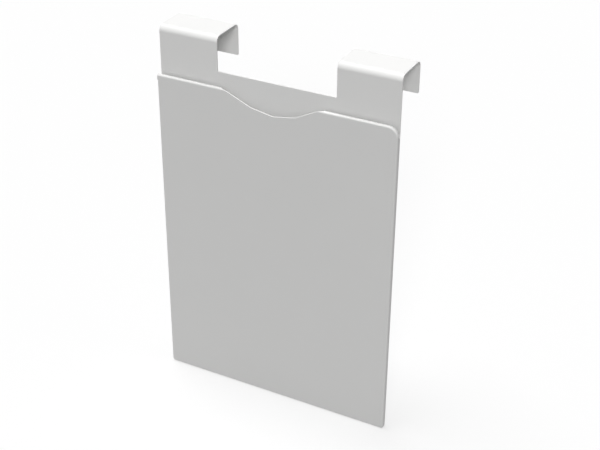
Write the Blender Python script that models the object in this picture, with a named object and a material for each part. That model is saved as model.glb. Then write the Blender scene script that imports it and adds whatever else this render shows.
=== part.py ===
"""Hanging document pocket for A4 sheets, made of two pieces of coated steel sheet.

The back plate is one flat blank with two arms rising from its top edge. Each arm is bent backwards
twice, into a hook that drops over the top edge of a board, a bed end or a rail. The front pocket is a
shallow tray: a front panel with a finger notch, walls on the left, the right and the bottom, and a
flange behind the walls that is welded to the back plate. On both sides of the notch the panel's top
edge is bent in towards the plate as a narrow lip, which leaves a slot for the sheets behind it. At the
top right the lip runs round the corner into the right wall.

Frame: X to the right as seen from the front, Y from the front towards the board, Z up. The origin is
the top front edge of the board, midway between the hooks: the hooks' tops rest at Z = 0 and the back
plate's rear face lies at Y = 0.
"""

import math

import bmesh
import bpy

# Sheet, in metres
SHEET = 0.0012  # thickness of both pieces
WELD_GAP = 0.0003  # left between the pocket's flange and the back plate

# Back plate and hooks, with heights from the pocket's bottom
PLATE_INSET = 0.0009  # the pocket stands out this far beyond the plate at the sides and the bottom
PLATE_HEIGHT = 0.3175  # to the top edge between the arms
ARM_WIDTH = 0.0565
HOOK_RISE = 0.3485  # to the outer face of the hooks' tops
HOOK_GAP = 0.0340  # between the back plate and the hooks' legs
HOOK_BEND = 0.0058  # outer radius of both bends of a hook
LEG_LENGTH = 0.0295  # from the outer face of the hook's top to the leg's free end
ARM_ROOT_RADIUS = 0.0010
LEG_CORNER_RADIUS = 0.0012

# Front pocket
POCKET_WIDTH = 0.2260
POCKET_DEPTH = 0.0057  # from the back plate's front face to the panel's outer face
PANEL_HEIGHT = 0.3052
EDGE_BEND = 0.0016  # outer radius where the panel turns into its walls and its lip
FLANGE_WIDTH = 0.0060  # flange behind the walls, measured from their outer face
BOTTOM_CORNER_RADIUS = 0.0026
TOP_CORNER_RADIUS = 0.0095  # outer face of the lip where it runs round into the right wall
LIP_DEPTH = 0.0028  # from the panel's outer face to the lip's free edge
LEFT_WALL_DROP = 0.0052  # from the panel's top edge to where the left wall begins
RELIEF = 0.0008  # slit that parts the panel's square left corner from the wall below it

# Finger notch in the panel's top edge, cut along four straight chords
NOTCH_LEFT = 0.0473  # from the middle to where the left flank's line meets the panel's top edge
NOTCH_RIGHT = 0.0426  # the same on the right
NOTCH_DEPTH = 0.0150
NOTCH_KNEE = 0.0210  # from the middle to where a flank meets the bottom's chord
NOTCH_KNEE_SHARE = 0.76  # of the depth, down to that place
NOTCH_SHOULDER_RADIUS = 0.0140

# Number of straight steps along each kind of bend or curve
BEND_STEPS = 10
EDGE_BEND_STEPS = 5
CORNER_STEPS = 6

QUARTER = math.pi / 2

# Places that follow from the sizes
HOOK_TOP_Z = SHEET
BOTTOM_Z = HOOK_TOP_Z - HOOK_RISE
PLATE_TOP_Z = BOTTOM_Z + PLATE_HEIGHT
PLATE_FOOT_Z = BOTTOM_Z + PLATE_INSET
LEG_OUTER_Y = HOOK_GAP + SHEET
PLATE_FRONT_Y = -SHEET
PANEL_FRONT_Y = PLATE_FRONT_Y - POCKET_DEPTH
FLANGE_REAR_Y = PLATE_FRONT_Y - WELD_GAP
PANEL_TOP_Z = BOTTOM_Z + PANEL_HEIGHT
LIP_Z = PANEL_TOP_Z - EDGE_BEND
LEFT_CORNER_Z = PANEL_TOP_Z - LEFT_WALL_DROP
PLATE_HALF = POCKET_WIDTH / 2 - PLATE_INSET
POCKET_HALF = POCKET_WIDTH / 2
CORNER_X = POCKET_HALF - TOP_CORNER_RADIUS
CORNER_Z = PANEL_TOP_Z - TOP_CORNER_RADIUS
NOTCH_KNEE_DROP = NOTCH_KNEE_SHARE * NOTCH_DEPTH


class Sheet:
    """A piece of sheet, given by its outer skin, its inner skin and the faces that both have."""

    def __init__(self):
        self.outer = []
        self.inner = []
        self.faces = []

    def point(self, outer, inner):
        """Adds a point of the outer skin with its partner on the inner skin, and returns its index."""
        self.outer.append(outer)
        self.inner.append(inner)
        return len(self.outer) - 1

    def face(self, indices):
        """Adds a face, listed anticlockwise as seen from outside."""
        self.faces.append(tuple(indices))

    def strip(self, first, second):
        """Adds a band of four-sided faces between two rows of points."""
        for k in range(len(first) - 1):
            self.face((first[k], first[k + 1], second[k + 1], second[k]))

    def build(self):
        """Returns the closed body, with the edges that only one face has closed from skin to skin."""
        body = bmesh.new()
        outer = [body.verts.new(place) for place in self.outer]
        inner = [body.verts.new(place) for place in self.inner]
        directed = {(f[k - 1], f[k]) for f in self.faces for k in range(len(f))}
        for face in self.faces:
            body.faces.new([outer[k] for k in face])
            body.faces.new([inner[k] for k in reversed(face)])
        for a, b in sorted(directed):
            if (b, a) not in directed:
                body.faces.new((outer[b], outer[a], inner[a], inner[b]))
        return body


def arc(centre, radius, start, end, steps):
    """Points on a circle in a plane, from one angle to another, both ends included."""
    return [
        (
            centre[0] + radius * math.cos(start + (end - start) * k / steps),
            centre[1] + radius * math.sin(start + (end - start) * k / steps),
        )
        for k in range(steps + 1)
    ]


def coated_steel(name, colour, roughness):
    """A plain painted finish for one piece."""
    material = bpy.data.materials.new(name)
    material.use_nodes = True
    shader = material.node_tree.nodes["Principled BSDF"]
    shader.inputs["Base Color"].default_value = (*colour, 1.0)
    shader.inputs["Roughness"].default_value = roughness
    shader.inputs["Metallic"].default_value = 0.0
    return material


def add_piece(name, body, material):
    """Turns a finished bmesh into a named object that is smooth along its bends and sharp elsewhere."""
    bmesh.ops.recalc_face_normals(body, faces=body.faces)
    mesh = bpy.data.meshes.new(name)
    body.to_mesh(mesh)
    body.free()
    mesh.materials.append(material)
    mesh.shade_smooth()
    mesh.set_sharp_from_angle(angle=math.radians(30))
    piece = bpy.data.objects.new(name, mesh)
    bpy.context.scene.collection.objects.link(piece)
    return piece


def flat_points(sheet, outline, outer_y, inner_y):
    """Adds an outline in X and Z as points of the sheet, its skins at two depths in Y."""
    return [sheet.point((x, outer_y, z), (x, inner_y, z)) for x, z in outline]


def hook_section():
    """Outer and inner points of a hook in Y and Z, from the arm's top, over the hook, to the leg's top."""
    bend_z = HOOK_TOP_Z - HOOK_BEND
    front = (PLATE_FRONT_Y + HOOK_BEND, bend_z)
    rear = (LEG_OUTER_Y - HOOK_BEND, bend_z)
    skins = []
    for radius in (HOOK_BEND, HOOK_BEND - SHEET):
        over_front = arc(front, radius, math.pi, QUARTER, BEND_STEPS)
        over_rear = arc(rear, radius, QUARTER, 0, BEND_STEPS)
        skins.append(over_front + over_rear)
    return list(zip(*skins))


def plate_outline():
    """The flat blank below the hooks' bends, anticlockwise from the left arm's top left corner in X and Z.

    Returns the outline and, for each arm, the places in it of the two ends of the edge where its hook
    goes on, left end first.
    """
    inner = PLATE_HALF - ARM_WIDTH
    bend_z = HOOK_TOP_Z - HOOK_BEND
    corner = BOTTOM_CORNER_RADIUS
    root = ARM_ROOT_RADIUS
    outline = [(-PLATE_HALF, bend_z)]
    outline += arc((-PLATE_HALF + corner, PLATE_FOOT_Z + corner), corner, math.pi, 3 * QUARTER, CORNER_STEPS)
    outline += arc((PLATE_HALF - corner, PLATE_FOOT_Z + corner), corner, -QUARTER, 0, CORNER_STEPS)
    right_arm = len(outline)
    outline += [(PLATE_HALF, bend_z), (inner, bend_z)]
    outline += arc((inner - root, PLATE_TOP_Z + root), root, 0, -QUARTER, CORNER_STEPS)
    outline += arc((-inner + root, PLATE_TOP_Z + root), root, -QUARTER, -math.pi, CORNER_STEPS)
    outline += [(-inner, bend_z)]
    return outline, (0, len(outline) - 1), (right_arm + 1, right_arm)


def leg_outline(left, right):
    """The flat leg of a hook in X and Z, from its right side round the free end to its left side."""
    end = HOOK_TOP_Z - LEG_LENGTH
    corner = LEG_CORNER_RADIUS
    outline = arc((right - corner, end + corner), corner, 0, -QUARTER, CORNER_STEPS)
    outline += arc((left + corner, end + corner), corner, -QUARTER, -math.pi, CORNER_STEPS)
    return outline


def back_plate(material):
    """The back plate with its two arms, each bent over into a hook."""
    sheet = Sheet()
    outline, *arms = plate_outline()
    plate = flat_points(sheet, outline, PLATE_FRONT_Y, 0)
    sheet.face(plate)
    for ends in arms:
        left, right = (outline[place][0] for place in ends)
        rows = [[plate[place] for place in ends]]
        for outer, inner in hook_section()[1:]:
            rows.append([sheet.point((x, *outer), (x, *inner)) for x in (left, right)])
        for below, above in zip(rows, rows[1:]):
            sheet.strip(below, above)
        leg = flat_points(sheet, leg_outline(left, right), LEG_OUTER_Y, HOOK_GAP)
        sheet.face(rows[-1] + leg)
    return add_piece("back_plate", sheet.build(), material)


def across_circle(radius, depth):
    """Distance from a circle's axis to its curve at a depth below the circle's edge."""
    return math.sqrt(depth * (2 * radius - depth))


def round_corner(centre, radius, start):
    """A quarter turn of the tray's outer face in X and Z, as places with their directions outwards."""
    corner = []
    for k in range(CORNER_STEPS + 1):
        angle = start + QUARTER * k / CORNER_STEPS
        out = (math.cos(angle), math.sin(angle))
        corner.append(((centre[0] + radius * out[0], centre[1] + radius * out[1]), out))
    return corner


def wall_path():
    """The tray's walls seen from the front, down the left, along the bottom and up the right.

    Each entry is a point on the walls' outer face in X and Z, the direction outwards, and the place
    where the rear flange ends there, which is the same for a whole corner.
    """
    corner = BOTTOM_CORNER_RADIUS
    inner = POCKET_HALF - FLANGE_WIDTH
    top_left = LEFT_CORNER_Z - RELIEF
    path = [((-POCKET_HALF, top_left), (-1, 0), (-inner, top_left + EDGE_BEND - FLANGE_WIDTH))]
    for side, start in ((-1, math.pi), (1, 3 * QUARTER)):
        for place, out in round_corner((side * (POCKET_HALF - corner), BOTTOM_Z + corner), corner, start):
            path.append((place, out, (side * inner, BOTTOM_Z + FLANGE_WIDTH)))
    path.append(((POCKET_HALF, CORNER_Z), (1, 0), (inner, CORNER_Z + EDGE_BEND - FLANGE_WIDTH)))
    return path


def lip_section():
    """Outer and inner points of the panel's bent edge, from the panel's face to the lip's free edge.

    Each point is a place in Y and a depth below the outer face that the edge is bent into.
    """
    skins = []
    for radius in (EDGE_BEND, EDGE_BEND - SHEET):
        bend = arc((PANEL_FRONT_Y + EDGE_BEND, EDGE_BEND), radius, math.pi, 3 * QUARTER, EDGE_BEND_STEPS)
        skins.append(bend + [(PANEL_FRONT_Y + LIP_DEPTH, EDGE_BEND - radius)])
    return list(zip(*skins))


def rear_section():
    """Outer and inner points of the bend between a wall and its flange, given like the lip's."""
    skins = [
        arc((FLANGE_REAR_Y - EDGE_BEND, EDGE_BEND), radius, 3 * QUARTER, math.tau, EDGE_BEND_STEPS)
        for radius in (EDGE_BEND, EDGE_BEND - SHEET)
    ]
    return list(zip(*skins))


def put_section(section, place, out):
    """Puts a section at a place of the tray's outer face, with the direction outwards there."""
    return [
        [(place[0] - depth * out[0], y, place[1] - depth * out[1]) for y, depth in skins] for skins in section
    ]


def notch_flank(side):
    """One flank of the notch, with the side given as -1 for the left and 1 for the right.

    Returns its distance from the middle at the panel's top edge, its slope, and how far from the middle
    its shoulder begins.
    """
    end = NOTCH_RIGHT if side > 0 else NOTCH_LEFT
    slope = math.atan2(NOTCH_KNEE_DROP, end - NOTCH_KNEE)
    return end, slope, end + NOTCH_SHOULDER_RADIUS * math.tan(slope / 2)


def notch_reach(side, drop):
    """How far from the middle the notch reaches on one side, this far below the panel's top edge."""
    end, slope, start = notch_flank(side)
    if drop < NOTCH_SHOULDER_RADIUS * (1 - math.cos(slope)):
        return start - across_circle(NOTCH_SHOULDER_RADIUS, drop)
    return end - drop / math.tan(slope)


def notch_shoulder(side):
    """The round shoulder of one side below the lip's bend, in X and Z, from its upper end down to the flank."""
    _, slope, start = notch_flank(side)
    centre = (start, PANEL_TOP_Z - NOTCH_SHOULDER_RADIUS)
    curve = arc(centre, NOTCH_SHOULDER_RADIUS, QUARTER, QUARTER + slope, CORNER_STEPS)
    shoulder = [(notch_reach(side, EDGE_BEND), LIP_Z)] + [(x, z) for x, z in curve if z < LIP_Z]
    return [(side * x, z) for x, z in shoulder]


def notch_outline():
    """The notch below the lip's bend in X and Z, from right to left."""
    knee_z = PANEL_TOP_Z - NOTCH_KNEE_DROP
    bottom = [(NOTCH_KNEE, knee_z), (0, PANEL_TOP_Z - NOTCH_DEPTH), (-NOTCH_KNEE, knee_z)]
    return notch_shoulder(1) + bottom + notch_shoulder(-1)[::-1]


def lip_column(sheet, foot, end):
    """Adds a line of points over the lip, from a point of the panel's face to the lip's free edge.

    How far across it runs follows from the drop below the panel's top edge.
    """
    column = [foot]
    for skins in lip_section()[1:]:
        column.append(sheet.point(*((end(drop), y, PANEL_TOP_Z - drop) for y, drop in skins)))
    return column


def front_pocket(material):
    """The tray: walls and flange, the lip's corner, the panel's face between them, the lip beside the notch."""
    sheet = Sheet()
    walls = []
    for place, out, (x, z) in wall_path():
        section = put_section(lip_section() + rear_section(), place, out)
        section.append(((x, FLANGE_REAR_Y, z), (x, FLANGE_REAR_Y - SHEET, z)))
        walls.append([sheet.point(outer, inner) for outer, inner in section])
    for one, other in zip(walls, walls[1:]):
        sheet.strip(one, other)

    corner = [walls[-1][: len(lip_section())]]
    for place, out in round_corner((CORNER_X, CORNER_Z), TOP_CORNER_RADIUS, 0)[1:]:
        corner.append([sheet.point(outer, inner) for outer, inner in put_section(lip_section(), place, out)])
    for one, other in zip(corner, corner[1:]):
        sheet.strip(one, other)

    notch = notch_outline()
    left_corner = [(-POCKET_HALF, LIP_Z), (-POCKET_HALF, LEFT_CORNER_Z), (-POCKET_HALF + EDGE_BEND, LEFT_CORNER_Z)]
    top = flat_points(sheet, notch + left_corner, PANEL_FRONT_Y, PANEL_FRONT_Y + SHEET)
    sheet.face([row[0] for row in walls + corner[1:]] + top)

    notch_left = len(notch) - 1
    lips = [
        (
            lip_column(sheet, top[notch_left + 1], lambda drop: -POCKET_HALF),
            lip_column(sheet, top[notch_left], lambda drop: -notch_reach(-1, drop)),
        ),
        (lip_column(sheet, top[0], lambda drop: notch_reach(1, drop)), corner[-1]),
    ]
    for left, right in lips:
        ends = list(zip(left, right))
        for below, above in zip(ends, ends[1:]):
            sheet.strip(below, above)
    return add_piece("front_pocket", sheet.build(), material)


def main():
    """Clears the scene and makes both pieces."""
    for old in list(bpy.data.objects):
        bpy.data.objects.remove(old)
    back_plate(coated_steel("white_coated_plate", (0.83, 0.83, 0.82), 0.42))
    front_pocket(coated_steel("white_coated_pocket", (0.80, 0.80, 0.79), 0.42))


main()
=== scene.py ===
"""Looks of the hanging document pocket: two folded sheets of white powder-coated steel.

The back plate and the front pocket are each worked out as one outer skin, made of grids of points
that share their seams. A Solidify modifier gives the skin the sheet's thickness, a Bevel modifier
rounds the cut edges as the coat does, and a Weighted Normal modifier keeps the flats flat beside
the bends.

Frame: X to the right as seen from the front, Y from the front towards the board, Z up, in metres.
The undersides of the hooks' tops lie at Z = 0 and the back plate's rear face at Y = 0.
"""

import logging
import math
from dataclasses import dataclass, field
from enum import Enum

import bmesh
import bpy
import numpy as np
from mathutils import Matrix, Vector


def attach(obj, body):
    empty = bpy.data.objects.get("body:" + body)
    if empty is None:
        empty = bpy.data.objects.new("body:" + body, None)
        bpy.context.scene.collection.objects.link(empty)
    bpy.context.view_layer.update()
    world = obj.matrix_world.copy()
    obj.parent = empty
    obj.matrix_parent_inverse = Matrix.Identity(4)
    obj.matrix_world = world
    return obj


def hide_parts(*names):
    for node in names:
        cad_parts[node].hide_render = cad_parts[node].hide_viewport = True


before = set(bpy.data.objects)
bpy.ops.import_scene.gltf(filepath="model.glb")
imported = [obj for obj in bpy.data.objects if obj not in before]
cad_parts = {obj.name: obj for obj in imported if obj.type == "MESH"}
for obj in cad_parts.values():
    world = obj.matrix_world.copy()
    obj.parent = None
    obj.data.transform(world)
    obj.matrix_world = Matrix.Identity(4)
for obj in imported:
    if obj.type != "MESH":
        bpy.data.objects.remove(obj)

log = logging.getLogger("document_pocket")

MM = 0.001
QUARTER = math.pi / 2
WHITE = (1.0, 1.0, 1.0, 1.0)

# Points of a skin that are nearer than this are one point.
SAME_POINT = 0.01 * MM
# Edges of a skin that are shorter than this are taken out.
SHORTEST_EDGE = 0.005 * MM
# Neighbouring cells of a skin that turn by less than this lie in one flat.
FLAT_TURN = math.radians(0.2)
# Keeps a run that its step divides evenly from getting one step more.
ROUNDING = 1e-6
# The colour sockets of a Mix node, whose names its number and vector sockets share.
FIRST_COLOUR, SECOND_COLOUR = 6, 7


class Side(Enum):
    """A side of the object as seen from the front, with its sign along X."""

    LEFT = -1
    RIGHT = 1


# helpers for shapes


def span(*stops: float, step: float) -> np.ndarray:
    """Places from the first stop to the last, evenly spread between each two of them.

    Args:
        stops: the places that have to be in the result, in order.
        step: the widest distance between two neighbours.

    Returns:
        The places as one rising array.
    """
    runs = [
        np.linspace(a, b, max(1, math.ceil((b - a) / step - ROUNDING)) + 1)[:-1]
        for a, b in zip(stops, stops[1:])
    ]
    return np.concatenate([*runs, [stops[-1]]])


def turn(start: float, end: float, steps: int) -> np.ndarray:
    """Angles from one to another in equal steps, both ends included."""
    return np.linspace(start, end, steps + 1)


def across_circle(radius: float, depth: np.ndarray) -> np.ndarray:
    """Half a circle's width at a depth below its edge: root of depth (2 radius - depth)."""
    return np.sqrt(np.maximum(depth * (2 * radius - depth), 0.0))


@dataclass
class Skin:
    """The outer face of a folded sheet, gathered from grids that share their seams."""

    points: list[np.ndarray] = field(default_factory=list)
    faces: list[np.ndarray] = field(default_factory=list)

    def add(self, grid: np.ndarray, keep: np.ndarray | None = None) -> None:
        """Adds a grid of points whose cells run anticlockwise as seen from outside.

        Args:
            grid: rows by columns by three coordinates.
            keep: which cells are there, rows - 1 by columns - 1; all of them if it is left out.
        """
        rows, columns = grid.shape[:2]
        first = sum(len(p) for p in self.points)
        index = first + np.arange(rows * columns).reshape(rows, columns)
        cells = np.stack(
            [index[:-1, :-1], index[:-1, 1:], index[1:, 1:], index[1:, :-1]], axis=-1
        )
        self.points.append(grid.reshape(-1, 3))
        self.faces.append(cells.reshape(-1, 4) if keep is None else cells[keep])

    def mesh(self, name: str) -> bpy.types.Mesh:
        """The skin as one mesh, with its seams merged and each flat of it joined to one face.

        With no narrow cells beside the cut edges, these round evenly all the way.

        Args:
            name: the mesh's name.

        Returns:
            The mesh, smooth shaded.
        """
        mesh = bpy.data.meshes.new(name)
        mesh.from_pydata(np.concatenate(self.points), [], np.concatenate(self.faces).tolist())
        body = bmesh.new()
        body.from_mesh(mesh)
        bmesh.ops.remove_doubles(body, verts=body.verts, dist=SAME_POINT)
        bmesh.ops.dissolve_degenerate(body, edges=body.edges, dist=SHORTEST_EDGE)
        loose = [v for v in body.verts if not v.link_faces]
        bmesh.ops.delete(body, geom=loose, context="VERTS")
        bmesh.ops.dissolve_limit(
            body, angle_limit=FLAT_TURN, verts=body.verts, edges=body.edges
        )
        body.to_mesh(mesh)
        body.free()
        mesh.shade_smooth()
        return mesh


@dataclass(frozen=True)
class SheetStock:
    """The steel sheet that both pieces are folded from, and the coat on its edges.

    The coat pulls round over every edge that is sharper than the given angle, in degrees.
    """

    thickness: float = 1.2 * MM
    coat_round: float = 0.32 * MM
    coat_steps: int = 3
    sharp_angle: float = 50.0

    def piece(self, name: str, skin: Skin, material: bpy.types.Material) -> bpy.types.Object:
        """Makes a finished piece of a skin: thickness inwards, rounded edges, flat flats.

        Args:
            name: the piece's name.
            skin: its outer face.
            material: its finish.

        Returns:
            The piece, at the origin.
        """
        piece = bpy.data.objects.new(name, skin.mesh(name))
        bpy.context.scene.collection.objects.link(piece)
        piece.data.materials.append(material)
        solid = piece.modifiers.new("sheet_thickness", "SOLIDIFY")
        solid.thickness = self.thickness
        solid.offset = -1.0
        solid.use_even_offset = True
        solid.use_quality_normals = True
        edges = piece.modifiers.new("coated_edges", "BEVEL")
        edges.width = self.coat_round
        edges.segments = self.coat_steps
        edges.limit_method = "ANGLE"
        edges.angle_limit = math.radians(self.sharp_angle)
        edges.use_clamp_overlap = False
        flats = piece.modifiers.new("flat_flats", "WEIGHTED_NORMAL")
        flats.keep_sharp = False
        return piece


# finishes


def linear(code: str) -> tuple[float, float, float, float]:
    """An sRGB hex colour as linear red, green, blue and alpha."""
    parts = [int(code[k : k + 2], 16) / 255 for k in (1, 3, 5)]
    return (*(v / 12.92 if v <= 0.04045 else ((v + 0.055) / 1.055) ** 2.4 for v in parts), 1.0)


def add_node(
    tree: bpy.types.NodeTree,
    kind: str,
    inputs: dict[str | int, object] | None = None,
    **settings: object,
) -> bpy.types.Node:
    """Adds a node with its settings, and sets or links its inputs.

    Args:
        tree: the node tree.
        kind: the node's type.
        inputs: a value or an output socket for each named or numbered input.
        settings: the node's own properties.

    Returns:
        The node.
    """
    node = tree.nodes.new(kind)
    for key, value in settings.items():
        setattr(node, key, value)
    for key, value in (inputs or {}).items():
        if isinstance(value, bpy.types.NodeSocket):
            tree.links.new(value, node.inputs[key])
        else:
            node.inputs[key].default_value = value
    return node


@dataclass(frozen=True)
class WeldPrints:
    """Shallow round prints that the spot welds leave on the plate's rear, over the pocket's flange.

    They stand in a column beside each side edge and in a row along the foot. Each is flat over a
    share of its radius and rises to the plate from there. Faces in front of the rear limit and
    places above the top have none.
    """

    column_x: float = 109.6 * MM
    row_z: float = -343.9 * MM
    pitch: float = 48.0 * MM
    top_z: float = -60.0 * MM
    rear_limit: float = -0.1 * MM
    radius: float = 2.6 * MM
    flat_share: float = 0.6
    depth: float = 0.10 * MM


@dataclass(frozen=True)
class PowderCoat:
    """White polyester powder coat, sprayed on steel sheet as powder and melted in an oven.

    The film levels itself as it melts, but not quite: it keeps a faint orange peel with waves of a
    millimetre or two, and it pulls round over the cut edges. It is satin, so lamps show in it only
    as broad soft patches, and its tone and gloss drift a little with the film's thickness.

    Drift and peel are noise. Layers counts the finer noises laid over each, fade is how much of
    its strength each of them keeps, and the drift's span is what its noise mostly keeps to.
    """

    name: str
    thick_film: str
    thin_film: str
    roughness: float = 0.50
    roughness_drift: float = 0.05
    ior: float = 1.5
    drift_size: float = 55.0 * MM
    drift_layers: float = 3.0
    drift_fade: float = 0.55
    drift_span: tuple[float, float] = (0.3, 0.7)
    peel_size: float = 1.6 * MM
    peel_layers: float = 2.0
    peel_fade: float = 0.45
    peel_height: float = 0.012 * MM
    welds: WeldPrints | None = None

    def weld_height(
        self, tree: bpy.types.NodeTree, place: bpy.types.NodeSocket
    ) -> bpy.types.NodeSocket:
        """The height of the weld prints: minus the depth inside a round print, zero outside.

        A place's distance is that to the nearest print's centre, the root of the sum of two
        squares: along a column or row the place is folded into one pitch, and across it the
        column's or row's own place is taken off.

        Args:
            tree: the node tree.
            place: the Object coordinates.

        Returns:
            The height in metres.
        """
        welds = self.welds
        x, y, z = add_node(tree, "ShaderNodeSeparateXYZ", {0: place}).outputs
        found = {"x": x, "y": y, "z": z}
        # A step's name, its operation, and the earlier steps or numbers that it works on.
        steps = (
            ("off_middle", "ABSOLUTE", "x"),
            ("from_column", "SUBTRACT", "off_middle", welds.column_x),
            ("from_row", "SUBTRACT", "z", welds.row_z),
            ("along_column", "PINGPONG", "from_row", welds.pitch / 2),
            ("from_right_column", "SUBTRACT", "x", welds.column_x),
            ("along_row", "PINGPONG", "from_right_column", welds.pitch / 2),
            ("across_column_squared", "MULTIPLY", "from_column", "from_column"),
            ("across_row_squared", "MULTIPLY", "from_row", "from_row"),
            ("in_column", "MULTIPLY_ADD", "along_column", "along_column", "across_column_squared"),
            ("in_row", "MULTIPLY_ADD", "along_row", "along_row", "across_row_squared"),
            ("nearest_squared", "MINIMUM", "in_column", "in_row"),
            ("nearest", "SQRT", "nearest_squared"),
            ("at_rear", "GREATER_THAN", "y", welds.rear_limit),
            ("below_top", "LESS_THAN", "z", welds.top_z),
            ("printed", "MULTIPLY", "at_rear", "below_top"),
        )
        for name, operation, *parts in steps:
            values = {k: found.get(part, part) for k, part in enumerate(parts)}
            found[name] = add_node(
                tree, "ShaderNodeMath", values, operation=operation
            ).outputs[0]
        inside = add_node(
            tree,
            "ShaderNodeMapRange",
            {
                "Value": found["nearest"],
                "From Min": welds.radius,
                "From Max": welds.flat_share * welds.radius,
                "To Min": 0.0,
                "To Max": -welds.depth,
            },
            interpolation_type="SMOOTHSTEP",
        ).outputs[0]
        return add_node(
            tree, "ShaderNodeMath", {0: inside, 1: found["printed"]}, operation="MULTIPLY"
        ).outputs[0]

    def material(self) -> bpy.types.Material:
        """Builds the finish.

        Returns:
            The material.
        """
        material = bpy.data.materials.new(self.name)
        material.use_nodes = True
        tree = material.node_tree
        shader = tree.nodes["Principled BSDF"]
        place = add_node(tree, "ShaderNodeTexCoord").outputs["Object"]
        drift = add_node(
            tree,
            "ShaderNodeTexNoise",
            {
                "Vector": place,
                "Scale": 1 / self.drift_size,
                "Detail": self.drift_layers,
                "Roughness": self.drift_fade,
            },
        ).outputs["Fac"]
        tone = add_node(
            tree,
            "ShaderNodeMix",
            {
                "Factor": drift,
                FIRST_COLOUR: linear(self.thin_film),
                SECOND_COLOUR: linear(self.thick_film),
            },
            data_type="RGBA",
        )
        gloss = add_node(
            tree,
            "ShaderNodeMapRange",
            {
                "Value": drift,
                "From Min": self.drift_span[0],
                "From Max": self.drift_span[1],
                "To Min": self.roughness - self.roughness_drift,
                "To Max": self.roughness + self.roughness_drift,
            },
        )
        peel = add_node(
            tree,
            "ShaderNodeTexNoise",
            {
                "Vector": place,
                "Scale": 1 / self.peel_size,
                "Detail": self.peel_layers,
                "Roughness": self.peel_fade,
            },
        ).outputs["Fac"]
        # Noise spreads over about half its range, so the peel's height is counted twice.
        height = add_node(
            tree, "ShaderNodeMath", {0: peel, 1: 2 * self.peel_height}, operation="MULTIPLY"
        ).outputs[0]
        if self.welds:
            prints = self.weld_height(tree, place)
            height = add_node(
                tree, "ShaderNodeMath", {0: height, 1: prints}, operation="ADD"
            ).outputs[0]
        # The height is in metres already, so the bump takes it as it is.
        relief = add_node(
            tree, "ShaderNodeBump", {"Height": height, "Strength": 1.0, "Distance": 1.0}
        )
        tree.links.new(tone.outputs["Result"], shader.inputs["Base Color"])
        tree.links.new(gloss.outputs["Result"], shader.inputs["Roughness"])
        tree.links.new(relief.outputs["Normal"], shader.inputs["Normal"])
        shader.inputs["Metallic"].default_value = 0.0
        shader.inputs["IOR"].default_value = self.ior
        return material


# the object


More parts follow.
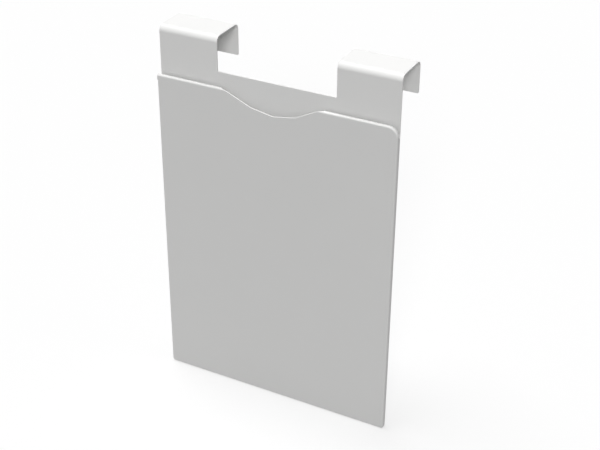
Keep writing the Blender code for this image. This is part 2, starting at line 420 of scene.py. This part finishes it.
@dataclass
class BackPlate:
    """The back plate: one blank with two arms that are bent over into hooks."""

    stock: SheetStock
    half_width: float = 112.1 * MM
    foot_z: float = -346.4 * MM
    top_z: float = -29.8 * MM
    arm_width: float = 56.5 * MM
    hook_gap: float = 34.0 * MM
    hook_bend: float = 5.8 * MM
    leg_length: float = 29.5 * MM
    foot_corner: float = 2.6 * MM
    arm_root: float = 1.0 * MM
    leg_corner: float = 1.2 * MM
    bend_steps: int = 12
    corner_steps: int = 6
    cell: float = 8.0 * MM
    plate_cell: float = 12.0 * MM

    @property
    def arm_inner(self) -> float:
        """Distance of an arm's inner edge from the middle."""
        return self.half_width - self.arm_width

    def fold(self) -> tuple[np.ndarray, np.ndarray, np.ndarray]:
        """The line that the outer face follows from the plate's foot to the leg's free end.

        Going up, it is the plate's front face, a quarter turn back, the hook's flat top, a quarter
        turn down and the leg. Beside it stands how much of its half width the blank has there: all
        of it, but at the foot's and the leg's corners half - r + root of (r^2 - (r - d)^2), with d
        the distance from the end, over half.

        Returns:
            Y and Z of the rows, and the share of the width that each row has.
        """
        sheet = self.stock.thickness
        front = -sheet
        rear = self.hook_gap + sheet
        bend_z = sheet - self.hook_bend
        leg_z = sheet - self.leg_length

        corner = (1 - np.cos(turn(0, QUARTER, self.corner_steps)))[:-1]
        foot = self.foot_corner * corner
        rise = span(self.foot_z + self.foot_corner, self.top_z, step=self.plate_cell)
        rise = np.append(rise, span(self.top_z + self.arm_root, bend_z, step=self.cell))
        up = np.concatenate([self.foot_z + foot, rise])

        angle = turn(0, QUARTER, self.bend_steps)
        over_y = front + self.hook_bend * (1 - np.cos(angle))
        over_z = bend_z + self.hook_bend * np.sin(angle)

        end = self.leg_corner * corner[::-1]
        down = span(leg_z + self.leg_corner, bend_z, step=self.cell)[::-1]
        down = np.concatenate([down, leg_z + end])

        front_run = np.full(len(up) - 1, front)
        rear_run = np.full(len(down) - 1, rear)
        y = np.concatenate([front_run, over_y, (rear + front) - over_y[::-1], rear_run])
        z = np.concatenate([up[:-1], over_z, over_z[::-1], down[1:]])
        share = np.ones(len(z))
        lost = self.foot_corner - across_circle(self.foot_corner, foot)
        share[: len(foot)] = 1 - lost / self.half_width
        lost = self.leg_corner - across_circle(self.leg_corner, end)
        share[len(share) - len(end) :] = 1 - lost / (self.arm_width / 2)
        return y, z, share

    def skin(self) -> Skin:
        """The outer face: one grid over the whole blank, without the cells between the arms.

        A point is (x, y(row), z(row)), where x is drawn towards the middle of the plate, or of its
        arm once the row is above the plate's top edge, by the row's share of the width.

        Returns:
            The skin.
        """
        y, z, share = self.fold()
        arm = span(self.arm_inner, self.half_width, step=self.cell)
        root_x = self.arm_inner - self.arm_root
        middle = span(-root_x, root_x, step=self.cell)
        x = np.concatenate([-arm[::-1], middle, arm])
        on_arm = np.abs(x) > self.arm_inner - self.arm_root / 2
        centre = np.where(on_arm, np.sign(x) * (self.arm_inner + self.half_width) / 2, 0.0)
        row = np.arange(len(z))
        is_arm = (z > self.top_z + self.arm_root / 2) | (row > np.argmax(z))
        pivot = np.where(is_arm[:, None], centre[None, :], 0.0)
        across = pivot + (x[None, :] - pivot) * share[:, None]
        grid = np.stack(np.broadcast_arrays(across, y[:, None], z[:, None]), axis=-1)
        between_arms = ~(on_arm[:-1] & on_arm[1:])
        keep = ~(is_arm[1:, None] & between_arms[None, :])
        skin = Skin()
        skin.add(grid, keep)
        for side in Side:
            skin.add(self.root(side))
        return skin

    def root(self, side: Side) -> np.ndarray:
        """The small fillet where an arm leaves the plate's top edge.

        A point is corner + t (arc(a) - corner): the corner at t = 0 and a quarter circle at t = 1.

        Args:
            side: the arm's side.

        Returns:
            The grid of points.
        """
        radius = self.arm_root
        angle = turn(-QUARTER, 0, self.corner_steps)
        arc_x = self.arm_inner - radius + radius * np.cos(angle)
        arc_z = self.top_z + radius + radius * np.sin(angle)
        arc = np.stack([arc_x, arc_z], axis=-1)
        corner = np.array([self.arm_inner, self.top_z])
        if side is Side.LEFT:
            mirror = np.array([side.value, 1.0])
            arc = arc[::-1] * mirror
            corner = corner * mirror
        share = np.array([0.0, 1.0])[:, None, None]
        flat = corner + share * (arc[None] - corner)
        return np.insert(flat, 1, -self.stock.thickness, axis=-1)

    def build(self, finish: PowderCoat) -> bpy.types.Object:
        """Makes the back plate and puts it in its node's place.

        Args:
            finish: its coat.

        Returns:
            The piece.
        """
        piece = self.stock.piece("coated_back_plate", self.skin(), finish.material())
        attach(piece, "root")
        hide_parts("back_plate")
        return piece


@dataclass
class FrontPocket:
    """The front pocket: a tray with a finger notch, a lip along its top edge and a rear flange."""

    stock: SheetStock
    half_width: float = 113.0 * MM
    bottom_z: float = -347.3 * MM
    top_z: float = -42.1 * MM
    front_y: float = -6.9 * MM
    flange_y: float = -1.5 * MM
    edge_bend: float = 1.6 * MM
    flange_width: float = 6.0 * MM
    flange_settle: float = 25.0 * MM
    bottom_corner: float = 2.6 * MM
    top_corner: float = 9.5 * MM
    lip_depth: float = 2.8 * MM
    left_wall_drop: float = 5.2 * MM
    relief: float = 0.8 * MM
    notch_left: float = 47.3 * MM
    notch_right: float = 42.6 * MM
    notch_depth: float = 15.0 * MM
    notch_knee: float = 21.0 * MM
    notch_knee_drop: float = 11.4 * MM
    notch_shoulder: float = 14.0 * MM
    bend_steps: int = 10
    corner_steps: int = 12
    bottom_corner_steps: int = 6
    cell: float = 8.0 * MM
    notch_cell: float = 1.5 * MM
    row_share: float = 0.04

    @property
    def bend_x(self) -> float:
        """Distance from the middle at which the panel's flat face meets its side bends."""
        return self.half_width - self.edge_bend

    @property
    def inner_corner(self) -> float:
        """Radius of the panel's flat face in the top right corner."""
        return self.top_corner - self.edge_bend

    @property
    def corner_x(self) -> float:
        """X of the top right corner's centre."""
        return self.half_width - self.top_corner

    @property
    def corner_z(self) -> float:
        """Z of the top right corner's centre."""
        return self.top_z - self.top_corner

    @property
    def left_corner_z(self) -> float:
        """Z of the lower end of the square top left corner."""
        return self.top_z - self.left_wall_drop

    def flank(self, side: Side) -> tuple[float, float, float]:
        """One flank of the notch.

        Args:
            side: its side.

        Returns:
            How far from the middle its line meets the panel's top edge, its slope as an angle, and
            how far from the middle its round shoulder begins.
        """
        end = self.notch_left if side is Side.LEFT else self.notch_right
        slope = math.atan2(self.notch_knee_drop, end - self.notch_knee)
        return end, slope, end + self.notch_shoulder * math.tan(slope / 2)

    def notch_drop(self, x: np.ndarray) -> np.ndarray:
        """How far the notch's edge lies below the panel's top edge.

        It follows straight chords through its two ends, its two knees and its lowest place. Each
        end is rounded: there it is r - root of (r^2 - d^2), with d the distance from where the
        shoulder begins.

        Args:
            x: places across the panel.

        Returns:
            The drops.
        """
        stops = [-self.notch_left, -self.notch_knee, 0.0, self.notch_knee, self.notch_right]
        drops = [0.0, self.notch_knee_drop, self.notch_depth, self.notch_knee_drop, 0.0]
        drop = np.interp(x, stops, drops)
        radius = self.notch_shoulder
        for side in Side:
            _, slope, start = self.flank(side)
            inwards = start - side.value * x
            on_shoulder = (inwards > 0) & (inwards < radius * math.sin(slope))
            rounded = radius - np.sqrt(np.maximum(radius**2 - inwards**2, 0.0))
            drop = np.where(on_shoulder, rounded, drop)
        return drop

    def notch_reach(self, side: Side, drop: np.ndarray) -> np.ndarray:
        """How far from the middle the notch reaches at a drop, down to its knee.

        On the shoulder it is start - root of drop (2r - drop), with start where the shoulder
        begins. Below that it is end - drop / tan of the slope.

        Args:
            side: the flank's side.
            drop: depths below the panel's top edge.

        Returns:
            The distances from the middle.
        """
        end, slope, start = self.flank(side)
        on_shoulder = drop < self.notch_shoulder * (1 - math.cos(slope))
        rounded = start - across_circle(self.notch_shoulder, drop)
        return np.where(on_shoulder, rounded, end - drop / math.tan(slope))

    def lip_end(self, side: Side) -> float:
        """Where the lip's bend ends beside the notch, on the panel's flat face."""
        return side.value * float(self.notch_reach(side, np.array(self.edge_bend)))

    def panel_top(self, x: np.ndarray) -> np.ndarray:
        """Height of the panel's flat face: the lowest of the lip's bend, the notch and the corner.

        The top right corner is a circle round the outer corner's centre, smaller than it by the
        bend's radius.

        Args:
            x: places across the panel.

        Returns:
            The heights.
        """
        depth = np.clip(self.bend_x - x, 0.0, self.inner_corner)
        corner = self.corner_z + across_circle(self.inner_corner, depth)
        return np.minimum(self.top_z - np.maximum(self.notch_drop(x), self.edge_bend), corner)

    def columns(self) -> np.ndarray:
        """Places of the panel's columns, close together along the notch and in the corner.

        Returns:
            The places across the panel, from left to right.
        """
        left_end, right_end = self.lip_end(Side.LEFT), self.lip_end(Side.RIGHT)
        knee = self.notch_knee
        left = span(-self.bend_x, left_end, step=self.cell)
        notch = span(left_end, -knee, 0.0, knee, right_end, step=self.notch_cell)
        right = span(right_end, self.corner_x, step=self.cell)
        angle = turn(QUARTER, 0, self.corner_steps)
        rounded = self.corner_x + self.inner_corner * np.cos(angle)
        rounded[0], rounded[-1] = self.corner_x, self.bend_x
        return np.concatenate([left[:-1], notch[:-1], right[:-1], rounded])

    def panel(self) -> tuple[np.ndarray, np.ndarray, int]:
        """The front panel's flat face inside its bends.

        Above the bottom corners a point is (x, z0 + v (top(x) - z0)). Rows in the bottom corners
        are straight, and shortened to the corners' quarter circles.

        Returns:
            The grid of points, the directions in which its rows meet the walls, as an angle above
            outwards for each row, and the row at which the left wall has its top.
        """
        x = self.columns()
        radius = self.bottom_corner - self.edge_bend
        flat_bottom = self.bottom_z + self.edge_bend
        angle = turn(-QUARTER, 0, self.bottom_corner_steps)[:-1]
        low = flat_bottom + radius * (1 + np.sin(angle))
        narrow = (self.bend_x - radius + radius * np.cos(angle)) / self.bend_x

        start = flat_bottom + radius
        height = self.top_z - self.edge_bend - start
        wall_top = (self.left_corner_z - self.relief - start) / height
        share = span(0.0, wall_top, step=self.row_share)
        left_wall_row = len(low) + len(share) - 1
        share = np.append(share, [(self.left_corner_z - start) / height, 1.0])

        upper = start + share[:, None] * (self.panel_top(x)[None, :] - start)
        lower = np.broadcast_to(low[:, None], (len(low), len(x)))
        z = np.concatenate([lower, upper])
        across = np.concatenate([narrow[:, None] * x[None, :], np.broadcast_to(x, upper.shape)])
        grid = np.stack(np.broadcast_arrays(across, self.front_y, z), axis=-1)
        angles = np.concatenate([angle, np.zeros(len(share))])
        return grid, angles, left_wall_row

    def section(self) -> tuple[np.ndarray, np.ndarray]:
        """The walls' section from the panel's bend line: outwards, back along the wall, in again.

        Both bends are quarter circles: (r sin a, r (1 - cos a)) from the panel, and the same from
        the flange. The point after the first bend lies as deep as the lip's free edge.

        Returns:
            How far outside the bend line each point lies, and its Y.
        """
        angle = turn(0, QUARTER, self.bend_steps)
        radius = self.edge_bend
        out = np.concatenate([radius * np.sin(angle), [radius], radius * np.cos(angle)])
        front = self.front_y + radius * (1 - np.cos(angle))
        rear = self.flange_y - radius * (1 - np.sin(angle))
        return out, np.concatenate([front, [self.front_y + self.lip_depth], rear])

    def walls(self, panel: np.ndarray, angles: np.ndarray, left_wall_row: int) -> np.ndarray:
        """The walls and the flange: the section carried down the left, along the foot and up again.

        A point is path + out direction; the flange's edge is the path held inside a rectangle that
        is the flange's width smaller than the tray. At both tops the flange is cut back at 45
        degrees, which fades out over the settling length below.

        Args:
            panel: the panel's grid, whose edge is the path.
            angles: the rows' directions outwards.
            left_wall_row: the row at which the left wall has its top.

        Returns:
            The grid of points.
        """
        left = panel[: left_wall_row + 1, 0][::-1]
        bottom = panel[0, 1:-1]
        right = panel[:, -1]
        path = np.concatenate([left, bottom, right])
        left_angles = angles[: left_wall_row + 1][::-1]
        out_x = np.concatenate([-np.cos(left_angles), np.zeros(len(bottom)), np.cos(angles)])
        out_z = np.concatenate([np.sin(left_angles), -np.ones(len(bottom)), np.sin(angles)])
        out, y = self.section()
        x = path[:, 0, None] + out_x[:, None] * out[None, :]
        z = path[:, 2, None] + out_z[:, None] * out[None, :]

        inner_x = self.half_width - self.flange_width
        inner_z = self.bottom_z + self.flange_width
        x = np.append(x, np.clip(path[:, 0, None], -inner_x, inner_x), axis=1)
        z = np.append(z, np.maximum(path[:, 2, None], inner_z), axis=1)
        y = np.append(y, self.flange_y)

        top = np.where(path[:, 0] > 0, right[-1, 2], left[0, 2])
        near_top = np.clip(1 - (top - path[:, 2]) / self.flange_settle, 0.0, 1.0)
        z[:, -1] -= near_top * (self.flange_width - self.edge_bend)
        return np.stack(np.broadcast_arrays(x, y[None, :], z), axis=-1)

    def corner(self, foot: np.ndarray) -> np.ndarray:
        """The lip's way round the top right corner: its section carried along a quarter circle.

        A point is foot(a) + out (cos a, sin a), at the section's Y.

        Args:
            foot: the panel's top row there, from the right wall up to the top edge.

        Returns:
            The grid of points.
        """
        out, y = (values[: self.bend_steps + 2] for values in self.section())
        angle = turn(0, QUARTER, self.corner_steps)
        x = foot[:, 0, None] + np.cos(angle)[:, None] * out[None, :]
        z = foot[:, 2, None] + np.sin(angle)[:, None] * out[None, :]
        return np.stack(np.broadcast_arrays(x, y[None, :], z), axis=-1)

    def lip(self, foot: np.ndarray, side: Side) -> np.ndarray:
        """The lip on one side of the notch, from the panel's top row over its bend to its edge.

        Its section is a quarter turn of the bend's radius and a flat. Across, each row is spread
        evenly between its ends, one of which follows the notch at that row's drop.

        Args:
            foot: the panel's top row there, from left to right.
            side: which side of the notch.

        Returns:
            The grid of points.
        """
        angle = turn(0, QUARTER, self.bend_steps)
        drop = np.append(self.edge_bend * (1 - np.sin(angle)), 0.0)
        depth = np.append(self.edge_bend * (1 - np.cos(angle)), self.lip_depth)
        if side is Side.LEFT:
            start, end = np.full(len(drop), -self.half_width), -self.notch_reach(side, drop)
        else:
            start, end = self.notch_reach(side, drop), np.full(len(drop), self.corner_x)
        share = (foot[:, 0] - foot[0, 0]) / (foot[-1, 0] - foot[0, 0])
        x = start[:, None] + share[None, :] * (end - start)[:, None]
        y = self.front_y + depth
        z = self.top_z - drop
        return np.stack(np.broadcast_arrays(x, y[:, None], z[:, None]), axis=-1)

    def skin(self) -> Skin:
        """The outer face: panel, square top left corner, walls with flange, lips and their corner.

        Returns:
            The skin.
        """
        panel, angles, left_wall_row = self.panel()
        skin = Skin()
        skin.add(panel)
        beside = panel[left_wall_row + 1 :, :1]
        outside = beside.copy()
        outside[..., 0] = -self.half_width
        skin.add(np.concatenate([outside, beside], axis=1))
        skin.add(self.walls(panel, angles, left_wall_row))
        top = panel[-1]
        x = top[:, 0]
        left = top[x < self.lip_end(Side.LEFT) + SAME_POINT]
        past_notch = x > self.lip_end(Side.RIGHT) - SAME_POINT
        right = top[past_notch & (x < self.corner_x + SAME_POINT)]
        skin.add(self.lip(np.concatenate([outside[-1], left]), Side.LEFT))
        skin.add(self.lip(right, Side.RIGHT))
        skin.add(self.corner(top[: -self.corner_steps - 2 : -1]))
        return skin

    def build(self, finish: PowderCoat) -> bpy.types.Object:
        """Makes the front pocket and puts it in its node's place.

        Args:
            finish: its coat.

        Returns:
            The piece.
        """
        piece = self.stock.piece("coated_front_pocket", self.skin(), finish.material())
        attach(piece, "root")
        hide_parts("front_pocket")
        return piece


# the studio


@dataclass(frozen=True)
class Camera:
    """The camera, by where it stands round a point on the object.

    Azimuth goes from the front to the right, elevation up and roll round the line of sight, all in
    degrees. The lens and the sensor are in millimetres, as Blender counts them.
    """

    azimuth: float = 26.98
    elevation: float = 30.69
    roll: float = 0.49
    distance: float = 1.0707
    target: tuple[float, float, float] = (0.0235, -0.0012, -0.1580)
    lens: float = 73.94
    sensor: float = 36.0

    def build(self) -> bpy.types.Object:
        """Makes the scene's camera.

        Returns:
            The camera.
        """
        a, e, r = (math.radians(v) for v in (self.azimuth, self.elevation, self.roll))
        back = Vector((math.sin(a) * math.cos(e), -math.cos(a) * math.cos(e), math.sin(e)))
        level = Vector((math.cos(a), math.sin(a), 0.0))
        right = math.cos(r) * level + math.sin(r) * back.cross(level)
        up = back.cross(right)
        place = Vector(self.target) + back * self.distance
        data = bpy.data.cameras.new("studio_camera")
        data.sensor_width = self.sensor
        data.lens = self.lens
        camera = bpy.data.objects.new("studio_camera", data)
        rows = [(*axes, place[k]) for k, axes in enumerate(zip(right, up, back))]
        camera.matrix_world = Matrix([*rows, (0, 0, 0, 1)])
        bpy.context.scene.collection.objects.link(camera)
        bpy.context.scene.camera = camera
        return camera


@dataclass(frozen=True)
class Lamp:
    """A broad even lamp, far off, so that it lights the floor alike everywhere.

    Its angle is how wide it looks from the object, in degrees, and only the direction of its place
    counts.
    """

    name: str
    strength: float
    angle: float
    place: tuple[float, float, float]

    def build(self) -> bpy.types.Object:
        """Makes the lamp, shining from its place towards the object.

        Returns:
            The lamp.
        """
        data = bpy.data.lights.new(self.name, "SUN")
        data.energy = self.strength
        data.angle = math.radians(self.angle)
        lamp = bpy.data.objects.new(self.name, data)
        lamp.rotation_euler = Vector(self.place).to_track_quat("Z", "Y").to_euler()
        bpy.context.scene.collection.objects.link(lamp)
        return lamp


def seen_or_mirrored(tree: bpy.types.NodeTree) -> bpy.types.NodeSocket:
    """Tells what is seen, also in gloss or through glass, from what only gives light.

    Args:
        tree: the node tree.

    Returns:
        A socket that is 1 for camera, glossy and transmission rays, and 0 for all others.
    """
    path = add_node(tree, "ShaderNodeLightPath").outputs
    either = path["Is Camera Ray"]
    for other in ("Is Glossy Ray", "Is Transmission Ray"):
        either = add_node(
            tree, "ShaderNodeMath", {0: either, 1: path[other]}, operation="MAXIMUM"
        ).outputs[0]
    return either


@dataclass(frozen=True)
class Studio:
    """A pale floor, an even surround, and lamps overhead, at the front right and behind.

    The floor is a sheet of matt paper. It is mid grey for what it lights, so that the object keeps
    its shading, and nearly white where it is seen or mirrored. A share of that white is even, and
    the rest of it takes the object's shadow.
    """

    floor_z: float = -347.8 * MM
    floor_size: float = 14.0
    floor_colour: str = "#8C8C8C"
    floor_seen: str = "#EDEDED"
    floor_white_share: float = 0.6
    surround: float = 0.19
    lamps: tuple[Lamp, ...] = (
        Lamp("overhead_lamp", 2.38, 34.0, (-0.20, 0.0, 0.98)),
        Lamp("front_lamp", 1.33, 20.0, (0.351, -0.785, 0.510)),
        Lamp("rear_lamp", 0.86, 20.0, (0.0, 1.0, 0.0)),
    )

    def floor(self) -> bpy.types.Object:
        """Makes the flat floor and its paper.

        Returns:
            The floor.
        """
        half = self.floor_size / 2
        corners = [(-half, -half), (half, -half), (half, half), (-half, half)]
        mesh = bpy.data.meshes.new("studio_floor")
        mesh.from_pydata([(x, y, self.floor_z) for x, y in corners], [], [(0, 1, 2, 3)])
        floor = bpy.data.objects.new("studio_floor", mesh)
        bpy.context.scene.collection.objects.link(floor)
        material = bpy.data.materials.new("white_studio_paper")
        material.use_nodes = True
        tree = material.node_tree
        tree.nodes.clear()
        seen = seen_or_mirrored(tree)
        share = add_node(
            tree, "ShaderNodeMath", {0: seen, 1: self.floor_white_share}, operation="MULTIPLY"
        )
        colour = add_node(
            tree,
            "ShaderNodeMix",
            {
                "Factor": seen,
                FIRST_COLOUR: linear(self.floor_colour),
                SECOND_COLOUR: linear(self.floor_seen),
            },
            data_type="RGBA",
        )
        paper = add_node(tree, "ShaderNodeBsdfDiffuse", {"Color": colour.outputs["Result"]})
        white = add_node(tree, "ShaderNodeEmission", {"Color": WHITE, "Strength": 1.0})
        both = add_node(
            tree,
            "ShaderNodeMixShader",
            {0: share.outputs[0], 1: paper.outputs[0], 2: white.outputs[0]},
        )
        add_node(tree, "ShaderNodeOutputMaterial", {"Surface": both.outputs[0]})
        mesh.materials.append(material)
        return floor

    def world(self) -> None:
        """Makes the surround: an even level for what it lights, white where seen or mirrored."""
        world = bpy.data.worlds.new("studio_surround")
        world.use_nodes = True
        tree = world.node_tree
        level = add_node(
            tree,
            "ShaderNodeMix",
            {
                "Factor": seen_or_mirrored(tree),
                FIRST_COLOUR: (self.surround, self.surround, self.surround, 1.0),
                SECOND_COLOUR: WHITE,
            },
            data_type="RGBA",
        )
        tree.links.new(level.outputs["Result"], tree.nodes["Background"].inputs["Color"])
        bpy.context.scene.world = world

    def build(self) -> None:
        """Makes the floor, the surround and the lamps."""
        self.floor()
        self.world()
        for lamp in self.lamps:
            lamp.build()


def main() -> None:
    """Builds the pieces and the studio."""
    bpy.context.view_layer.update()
    bpy.context.scene.view_settings.view_transform = "Standard"
    Camera().build()
    Studio().build()
    stock = SheetStock()
    plate_coat = PowderCoat(
        "white_powder_coat_on_plate", thick_film="#EAEAE9", thin_film="#E7E7E6", welds=WeldPrints()
    )
    pocket_coat = PowderCoat(
        "white_powder_coat_on_pocket", thick_film="#E5E5E4", thin_film="#E2E2E1"
    )
    for piece in (BackPlate(stock).build(plate_coat), FrontPocket(stock).build(pocket_coat)):
        log.info("%s: %d faces in its skin", piece.name, len(piece.data.polygons))


if __name__ == "__main__":
    logging.basicConfig(level=logging.INFO)
    main()
